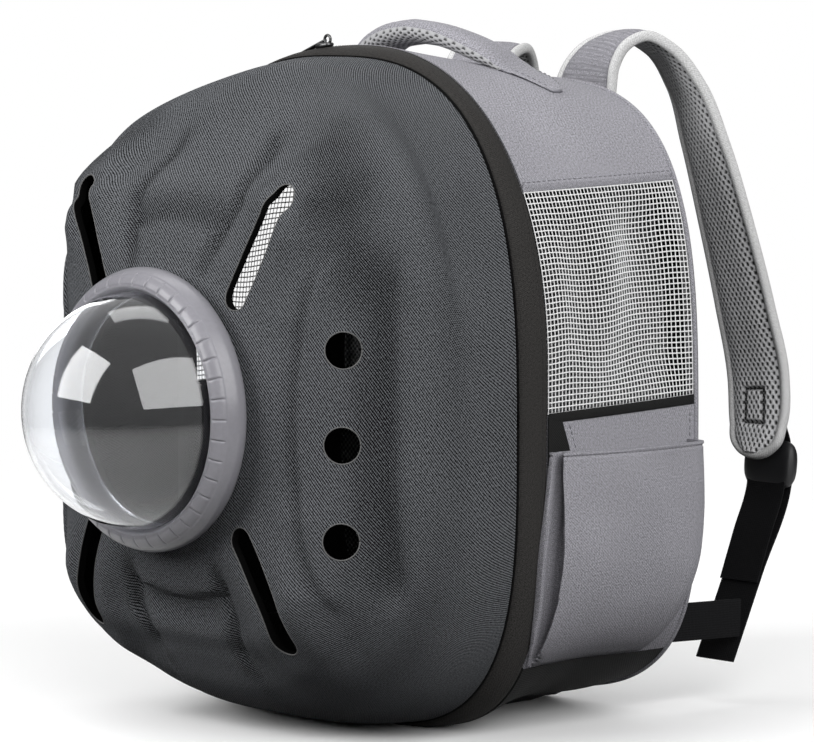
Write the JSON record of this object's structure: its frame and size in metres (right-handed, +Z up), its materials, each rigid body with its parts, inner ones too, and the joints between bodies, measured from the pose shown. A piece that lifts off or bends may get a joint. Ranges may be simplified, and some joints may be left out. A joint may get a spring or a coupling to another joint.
{
  "type": "pet carrier backpack",
  "caption": "Pet carrier backpack with a moulded front shell, clear dome window, net side windows, bellows pockets, grab handle and padded shoulder straps.",
  "frame": {"origin": "middle of the flat underside, on the surface that the bag stands on", "axes": "+Z up, -Y towards the dome window at the front, +X towards the wearer's right"},
  "size_m": [0.3652, 0.4971, 0.4286],
  "materials": {
    "shell": "moulded foam shell faced with fine charcoal twill",
    "ring": "satin grey plastic with fine ribs",
    "dome": "clear acrylic",
    "band": "dark woven tape with a covered zip",
    "grey_cloth": "grey woven polyester",
    "net": "white square net",
    "air_mesh": "padded grey air mesh",
    "black_cloth": "black woven cloth",
    "webbing": "black ribbed webbing",
    "black_plastic": "satin black plastic",
    "zip_metal": "dark plated metal"
  },
  "bodies": {
    "root": {"front_shell": "shell", "bubble_ring": "ring", "bubble_dome": "dome", "front_band": "band", "zipper_slider": "zip_metal", "zipper_pull": "zip_metal", "top_panel": "grey_cloth", "base_panel": "black_cloth", "back_panel": "air_mesh", "handle": "grey_cloth", "side_mesh_right": "net", "mesh_trim_right": "black_cloth", "side_panel_right": "grey_cloth", "side_pocket_right": "grey_cloth", "strap_pad_right": "air_mesh", "strap_loop_right": "webbing", "strap_buckle_right": "black_plastic", "strap_webbing_right": "webbing", "strap_tab_right": "webbing", "side_mesh_left": "net", "mesh_trim_left": "black_cloth", "side_panel_left": "grey_cloth", "side_pocket_left": "grey_cloth", "strap_pad_left": "air_mesh", "strap_loop_left": "webbing", "strap_buckle_left": "black_plastic", "strap_webbing_left": "webbing", "strap_tab_left": "webbing"}
  },
  "joints": []
}
